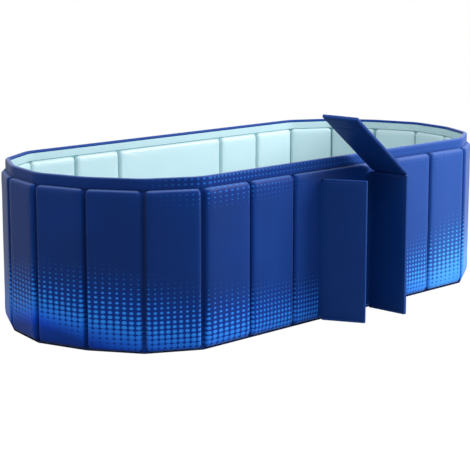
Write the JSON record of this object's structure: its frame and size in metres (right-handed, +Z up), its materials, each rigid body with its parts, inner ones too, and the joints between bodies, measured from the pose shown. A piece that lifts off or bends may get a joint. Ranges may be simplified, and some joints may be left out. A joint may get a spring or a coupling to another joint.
{
  "type": "portable bathtub",
  "caption": "Free-standing soft-walled bathtub of padded panels that folds flat, with a fold-out side table and a capped drain near the floor.",
  "frame": {"origin": "on the floor, under the middle of the tub", "axes": "+X along the tub, +Z up, -Y towards the front with the side table"},
  "size_m": [1.8084, 0.9928, 0.6382],
  "materials": {
    "cover": "satin printed coated cloth, navy",
    "liner": "smooth coated cloth, pale aqua",
    "board": "closed-cell foam, off-white",
    "flap": "board in satin coated cloth, dark navy",
    "fitting": "moulded plastic, white",
    "seal": "soft rubber, dark grey"
  },
  "bodies": {
    "front_wall": {"front_cover": "cover", "front_liner": "liner", "front_board_1": "board", "front_board_2": "board", "front_board_3": "board", "front_board_4": "board", "front_board_5": "board", "base_sheet": "cover", "floor_liner": "liner"},
    "back_wall": {"back_cover": "cover", "back_liner": "liner", "back_board_1": "board", "back_board_2": "board", "back_board_3": "board", "back_board_4": "board", "back_board_5": "board", "drain_spout": "fitting", "drain_seal": "seal", "drain_nut": "fitting"},
    "right_end_1": {"right_end_1_cover": "cover", "right_end_1_liner": "liner", "right_end_1_board": "board"},
    "right_end_2": {"right_end_2_cover": "cover", "right_end_2_liner": "liner", "right_end_2_board": "board"},
    "right_end_3": {"right_end_3_cover": "cover", "right_end_3_liner": "liner", "right_end_3_board": "board"},
    "right_end_4": {"right_end_4_cover": "cover", "right_end_4_liner": "liner", "right_end_4_board": "board"},
    "right_end_5": {"right_end_5_cover": "cover", "right_end_5_liner": "liner", "right_end_5_board": "board"},
    "right_end_6": {"right_end_6_cover": "cover", "right_end_6_liner": "liner", "right_end_6_board": "board"},
    "left_end_1": {"left_end_1_cover": "cover", "left_end_1_liner": "liner", "left_end_1_board": "board"},
    "left_end_2": {"left_end_2_cover": "cover", "left_end_2_liner": "liner", "left_end_2_board": "board"},
    "left_end_3": {"left_end_3_cover": "cover", "left_end_3_liner": "liner", "left_end_3_board": "board"},
    "left_end_4": {"left_end_4_cover": "cover", "left_end_4_liner": "liner", "left_end_4_board": "board"},
    "left_end_5": {"left_end_5_cover": "cover", "left_end_5_liner": "liner", "left_end_5_board": "board"},
    "left_end_6": {"left_end_6_cover": "cover", "left_end_6_liner": "liner", "left_end_6_board": "board"},
    "left_support": {"left_support": "flap"},
    "right_support": {"right_support": "flap"},
    "table_top": {"table_top": "flap"},
    "drain_cap": {"drain_cap": "fitting"}
  },
  "joints": [
    {"name": "right_end_1_fold", "type": "hinge", "parent": "front_wall", "child": "right_end_1", "pos_m": [0.61793, -0.3972, 0], "axis": [0, 0, -1], "range_deg": [0, 30.1]},
    {"name": "right_end_2_fold", "type": "hinge", "parent": "right_end_1", "child": "right_end_2", "pos_m": [0.76633, -0.31152, 0], "axis": [0, 0, -1], "range_deg": [0, 29.1]},
    {"name": "right_end_3_fold", "type": "hinge", "parent": "right_end_2", "child": "right_end_3", "pos_m": [0.8334, -0.15678, 0], "axis": [0, 0, 1], "range_deg": [0, 148.6]},
    {"name": "right_tip_fold", "type": "hinge", "parent": "right_end_3", "child": "right_end_4", "pos_m": [0.90496, 0, 0], "axis": [0, 0, -1], "range_deg": [0, 179], "deforming": ["base_sheet", "floor_liner"]},
    {"name": "right_end_5_fold", "type": "hinge", "parent": "right_end_4", "child": "right_end_5", "pos_m": [0.8334, 0.15678, 0], "axis": [0, 0, 1], "range_deg": [0, 148.6]},
    {"name": "right_end_6_fold", "type": "hinge", "parent": "right_end_5", "child": "right_end_6", "pos_m": [0.76633, 0.31152, 0], "axis": [0, 0, -1], "range_deg": [0, 29.1]},
    {"name": "back_wall_fold", "type": "hinge", "parent": "right_end_6", "child": "back_wall", "pos_m": [0.61793, 0.3972, 0], "axis": [0, 0, -1], "range_deg": [0, 30.1]},
    {"name": "left_end_1_fold", "type": "hinge", "parent": "front_wall", "child": "left_end_1", "pos_m": [-0.61793, -0.3972, 0], "axis": [0, 0, 1], "range_deg": [0, 30.1]},
    {"name": "left_end_2_fold", "type": "hinge", "parent": "left_end_1", "child": "left_end_2", "pos_m": [-0.76633, -0.31152, 0], "axis": [0, 0, 1], "range_deg": [0, 29.1]},
    {"name": "left_end_3_fold", "type": "hinge", "parent": "left_end_2", "child": "left_end_3", "pos_m": [-0.8334, -0.15678, 0], "axis": [0, 0, -1], "range_deg": [0, 148.6]},
    {"name": "left_tip_fold", "type": "hinge", "parent": "left_end_3", "child": "left_end_4", "pos_m": [-0.90496, 0, 0], "axis": [0, 0, 1], "range_deg": [0, 179.1]},
    {"name": "left_end_5_fold", "type": "hinge", "parent": "left_end_4", "child": "left_end_5", "pos_m": [-0.8334, 0.15678, 0], "axis": [0, 0, -1], "range_deg": [0, 148.6]},
    {"name": "left_end_6_fold", "type": "hinge", "parent": "left_end_5", "child": "left_end_6", "pos_m": [-0.76633, 0.31152, 0], "axis": [0, 0, 1], "range_deg": [0, 29.1]},
    {"name": "left_support_swing", "type": "hinge", "parent": "front_wall", "child": "left_support", "pos_m": [-0.114, -0.4163, 0], "axis": [0, 0, 1], "range_deg": [-25, 63]},
    {"name": "right_support_swing", "type": "hinge", "parent": "front_wall", "child": "right_support", "pos_m": [0.117, -0.4168, 0], "axis": [0, 0, 1], "range_deg": [0, 88]},
    {"name": "table_top_tilt", "type": "hinge", "parent": "right_support", "child": "table_top", "pos_m": [0.1127, -0.4173, 0.4435], "axis": [0, 1, 0], "range_deg": [-37, 52]},
    {"name": "drain_cap_pull", "type": "slide", "parent": "back_wall", "child": "drain_cap", "axis": [0, 1, 0], "range_m": [0, 0.03]}
  ],
  "couplings": [
    {"joint": "right_end_1_fold", "follows": "right_tip_fold", "ratio": 0.1676},
    {"joint": "right_end_2_fold", "follows": "right_tip_fold", "ratio": 0.16201},
    {"joint": "right_end_3_fold", "follows": "right_tip_fold", "ratio": 0.82961},
    {"joint": "right_end_5_fold", "follows": "right_tip_fold", "ratio": 0.82961},
    {"joint": "right_end_6_fold", "follows": "right_tip_fold", "ratio": 0.16201},
    {"joint": "back_wall_fold", "follows": "right_tip_fold", "ratio": 0.1676},
    {"joint": "left_end_1_fold", "follows": "right_tip_fold", "ratio": 0.1676},
    {"joint": "left_end_2_fold", "follows": "right_tip_fold", "ratio": 0.16201},
    {"joint": "left_end_3_fold", "follows": "right_tip_fold", "ratio": 0.82961},
    {"joint": "left_tip_fold", "follows": "right_tip_fold", "ratio": 1},
    {"joint": "left_end_5_fold", "follows": "right_tip_fold", "ratio": 0.82961},
    {"joint": "left_end_6_fold", "follows": "right_tip_fold", "ratio": 0.16201}
  ]
}
